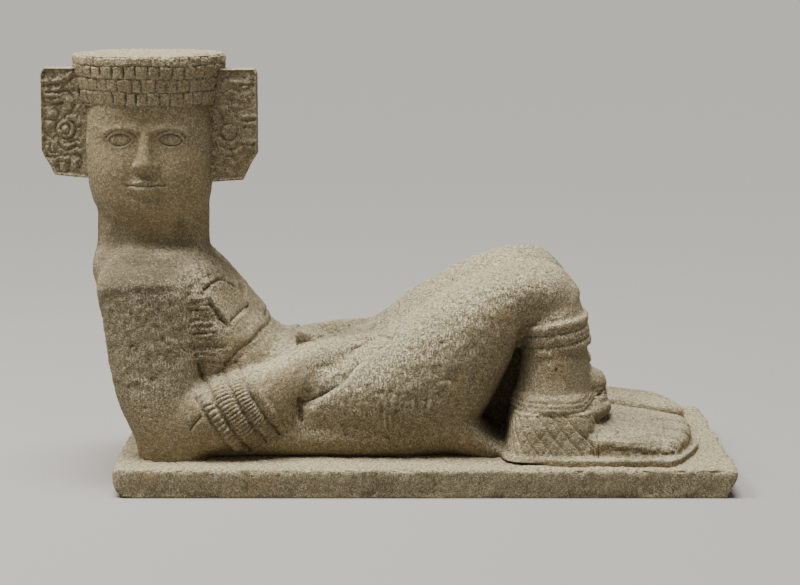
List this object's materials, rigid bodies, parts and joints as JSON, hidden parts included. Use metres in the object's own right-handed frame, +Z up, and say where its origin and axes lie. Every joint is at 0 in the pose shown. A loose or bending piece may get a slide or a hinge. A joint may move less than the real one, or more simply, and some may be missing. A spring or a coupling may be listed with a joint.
{
  "type": "chac mool figure",
  "caption": "Reclining carved limestone figure with raised knees, head turned to its side, square ear flaps and mosaic headband, on its own low plinth.",
  "frame": {"origin": "on the plinth's underside, under the middle of the whole length and depth", "axes": "+X from the head end to the feet, -Y the figure's right side, to which the head is turned, +Z up"},
  "size_m": [1.677, 0.83, 1.025],
  "materials": {
    "limestone": "rough, pitted, weathered grey-buff limestone"
  },
  "bodies": {
    "root": {"chac_mool": "limestone"}
  },
  "joints": []
}
